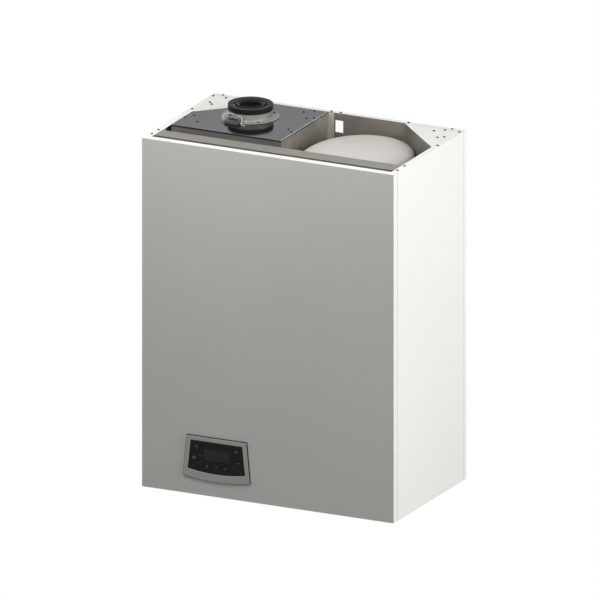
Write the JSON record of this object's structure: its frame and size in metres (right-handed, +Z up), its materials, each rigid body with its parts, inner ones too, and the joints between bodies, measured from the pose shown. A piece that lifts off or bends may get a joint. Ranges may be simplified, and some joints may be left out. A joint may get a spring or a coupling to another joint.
{
  "type": "combi boiler",
  "caption": "Wall-hung storage combi boiler: sheet-metal case with an open top, pull-off front, key panel, concentric flue socket, burner unit, tank, pump and pipework.",
  "frame": {"origin": "middle of the flat band on the wall face of the back panel", "axes": "+X to the right seen from the front, +Y to the wall, +Z up"},
  "size_m": [0.66, 0.3925, 0.9216],
  "materials": {
    "silver_paint": "satin",
    "white_paint": "satin",
    "galvanised_steel": "satin",
    "plate_steel": "polished",
    "cast_aluminium": "satin",
    "stainless": "satin",
    "foam": "matte",
    "black_rubber": "matte",
    "black_plastic": "matte",
    "grey_plastic": "satin",
    "gloss_black": "gloss",
    "display": "gloss",
    "copper": "satin",
    "brass": "satin",
    "red_paint": "satin",
    "red_plastic": "satin",
    "circuit": "satin",
    "ceramic": "satin"
  },
  "bodies": {
    "boiler": {"back_panel": "galvanised_steel", "left_side_panel": "white_paint", "right_side_panel": "white_paint", "rear_left_gusset": "white_paint", "rear_right_gusset": "white_paint", "front_top_rail": "galvanised_steel", "airbox_shell": "galvanised_steel", "airbox_front_cover": "galvanised_steel", "airbox_top_plate": "plate_steel", "flue_flange": "cast_aluminium", "flue_outer_ring": "black_rubber", "flue_lip_seal": "black_rubber", "flue_test_block": "black_plastic", "tank_jacket": "foam", "tank_vessel": "stainless", "tank_shelf": "galvanised_steel", "exchanger_barrel": "stainless", "exhaust_duct": "black_plastic", "burner_door": "cast_aluminium", "burner_tube": "stainless", "fan_scroll": "cast_aluminium", "fan_motor": "black_plastic", "venturi": "cast_aluminium", "premix_duct": "cast_aluminium", "ignition_electrode": "ceramic", "gas_valve": "cast_aluminium", "heating_expansion_vessel": "red_paint", "pump_body": "brass", "pump_motor": "black_plastic", "diverter_valve": "brass", "diverter_actuator": "black_plastic", "plate_heat_exchanger": "stainless", "relief_valve": "brass", "condensate_trap": "grey_plastic", "bottom_plate": "galvanised_steel", "heating_flow_pipe": "copper", "heating_return_pipe": "copper", "cold_water_pipe": "copper", "hot_water_pipe": "copper", "gas_pipe": "brass", "gas_feed_pipe": "cast_aluminium", "control_bezel": "grey_plastic", "control_fascia": "gloss_black", "display_window": "display", "circuit_board": "circuit", "control_housing": "black_plastic"},
    "front_cover": {"front_panel": "silver_paint"},
    "fan_rotor": {"fan_impeller": "black_plastic"},
    "pump_rotor": {"pump_impeller": "black_plastic"},
    "left_test_cap": {"test_cap_left": "black_plastic"},
    "right_test_cap": {"test_cap_right": "black_plastic"},
    "relief_handle": {"relief_knob": "red_plastic"},
    "trap_cup": {"condensate_cup": "grey_plastic"},
    "key_hot_water_button": {"key_hot_water": "gloss_black"},
    "key_heating_button": {"key_heating": "gloss_black"},
    "key_plus_button": {"key_plus": "gloss_black"},
    "key_minus_button": {"key_minus": "gloss_black"},
    "key_comfort_button": {"key_comfort": "gloss_black"},
    "key_power_button": {"key_power": "gloss_black"},
    "key_menu_button": {"key_menu": "gloss_black"}
  },
  "joints": [
    {"name": "front_panel_pull", "type": "slide", "parent": "boiler", "child": "front_cover", "axis": [0, -1, 0], "range_m": [0, 0.12]},
    {"name": "key_hot_water_press", "type": "slide", "parent": "boiler", "child": "key_hot_water_button", "axis": [0, 1, 0], "range_m": [0, 0.0008], "stiffness_N_per_m": 1500},
    {"name": "key_heating_press", "type": "slide", "parent": "boiler", "child": "key_heating_button", "axis": [0, 1, 0], "range_m": [0, 0.0008], "stiffness_N_per_m": 1500},
    {"name": "key_plus_press", "type": "slide", "parent": "boiler", "child": "key_plus_button", "axis": [0, 1, 0], "range_m": [0, 0.0008], "stiffness_N_per_m": 1500},
    {"name": "key_minus_press", "type": "slide", "parent": "boiler", "child": "key_minus_button", "axis": [0, 1, 0], "range_m": [0, 0.0008], "stiffness_N_per_m": 1500},
    {"name": "key_comfort_press", "type": "slide", "parent": "boiler", "child": "key_comfort_button", "axis": [0, 1, 0], "range_m": [0, 0.0008], "stiffness_N_per_m": 1500},
    {"name": "key_power_press", "type": "slide", "parent": "boiler", "child": "key_power_button", "axis": [0, 1, 0], "range_m": [0, 0.0008], "stiffness_N_per_m": 1500},
    {"name": "key_menu_press", "type": "slide", "parent": "boiler", "child": "key_menu_button", "axis": [0, 1, 0], "range_m": [0, 0.0008], "stiffness_N_per_m": 1500},
    {"name": "fan_spin", "type": "hinge", "parent": "boiler", "child": "fan_rotor", "pos_m": [-0.09, -0.165, 0.2795], "axis": [0, 0, 1], "continuous": true},
    {"name": "pump_spin", "type": "hinge", "parent": "boiler", "child": "pump_rotor", "pos_m": [-0.15, -0.13, -0.3205], "axis": [0, 1, 0], "continuous": true},
    {"name": "left_test_cap_pull", "type": "slide", "parent": "boiler", "child": "left_test_cap", "axis": [0, 0, 1], "range_m": [0, 0.03]},
    {"name": "right_test_cap_pull", "type": "slide", "parent": "boiler", "child": "right_test_cap", "axis": [0, 0, 1], "range_m": [0, 0.03]},
    {"name": "relief_knob_turn", "type": "hinge", "parent": "boiler", "child": "relief_handle", "pos_m": [0.04, -0.262, -0.3805], "axis": [0, 0, 1], "range_deg": [0, 90]},
    {"name": "condensate_cup_pull", "type": "slide", "parent": "boiler", "child": "trap_cup", "axis": [0, 0, -1], "range_m": [0, 0.045]}
  ]
}
